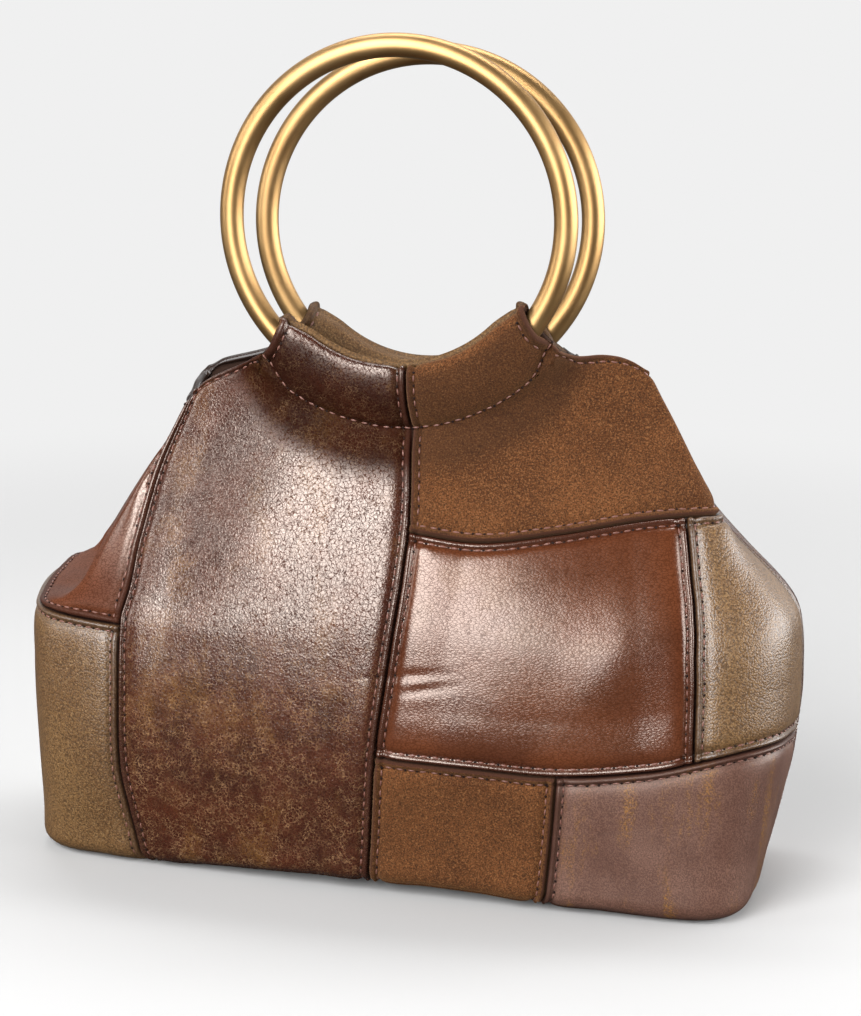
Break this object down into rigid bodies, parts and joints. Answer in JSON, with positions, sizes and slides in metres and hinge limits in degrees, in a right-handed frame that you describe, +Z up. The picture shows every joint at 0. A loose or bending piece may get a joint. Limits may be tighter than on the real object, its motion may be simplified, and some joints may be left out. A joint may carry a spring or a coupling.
{
  "type": "patchwork handbag with ring handles",
  "caption": "Soft leather handbag sewn from patchwork panels, open at the top, carried by metal ring handles held in folded leather sleeves.",
  "frame": {"origin": "on the floor under the middle of the bag, on the underside of the base panel", "axes": "+Z up, front of the bag faces -Y, +X to the right seen from the front"},
  "size_m": [0.3143, 0.1178, 0.334],
  "materials": {
    "crackled_leather": "waxed and crackled, semi-gloss",
    "suede": "napped suede, matt",
    "cognac_leather": "fine grain, satin",
    "olive_leather": "mottled, satin",
    "mauve_leather": "waxed with rubbed streaks, satin",
    "base_leather": "plain, satin",
    "antique_gold": "satin antique gold plating"
  },
  "bodies": {
    "bag": {"front_left_panel": "crackled_leather", "front_upper_right_panel": "suede", "front_middle_panel": "cognac_leather", "right_side_panel": "olive_leather", "front_lower_panel": "suede", "right_lower_panel": "mauve_leather", "left_side_panel": "olive_leather", "left_gusset": "cognac_leather", "back_upper_panel": "crackled_leather", "back_lower_right_panel": "cognac_leather", "back_lower_left_panel": "suede", "front_sleeve_facing": "olive_leather", "back_sleeve_facing": "olive_leather", "base_panel": "base_leather"},
    "ring_front": {"front_ring": "antique_gold"},
    "ring_rear": {"back_ring": "antique_gold"}
  },
  "joints": [
    {"name": "front_ring_turn", "type": "hinge", "parent": "bag", "child": "ring_front", "pos_m": [-0.0039, -0.023, 0.2634], "axis": [-0.0349, -0.9992, 0.0209], "continuous": true},
    {"name": "back_ring_turn", "type": "hinge", "parent": "bag", "child": "ring_rear", "pos_m": [-0.0004, 0.02, 0.2583], "axis": [0.0348, -0.9963, 0.0785], "continuous": true}
  ]
}
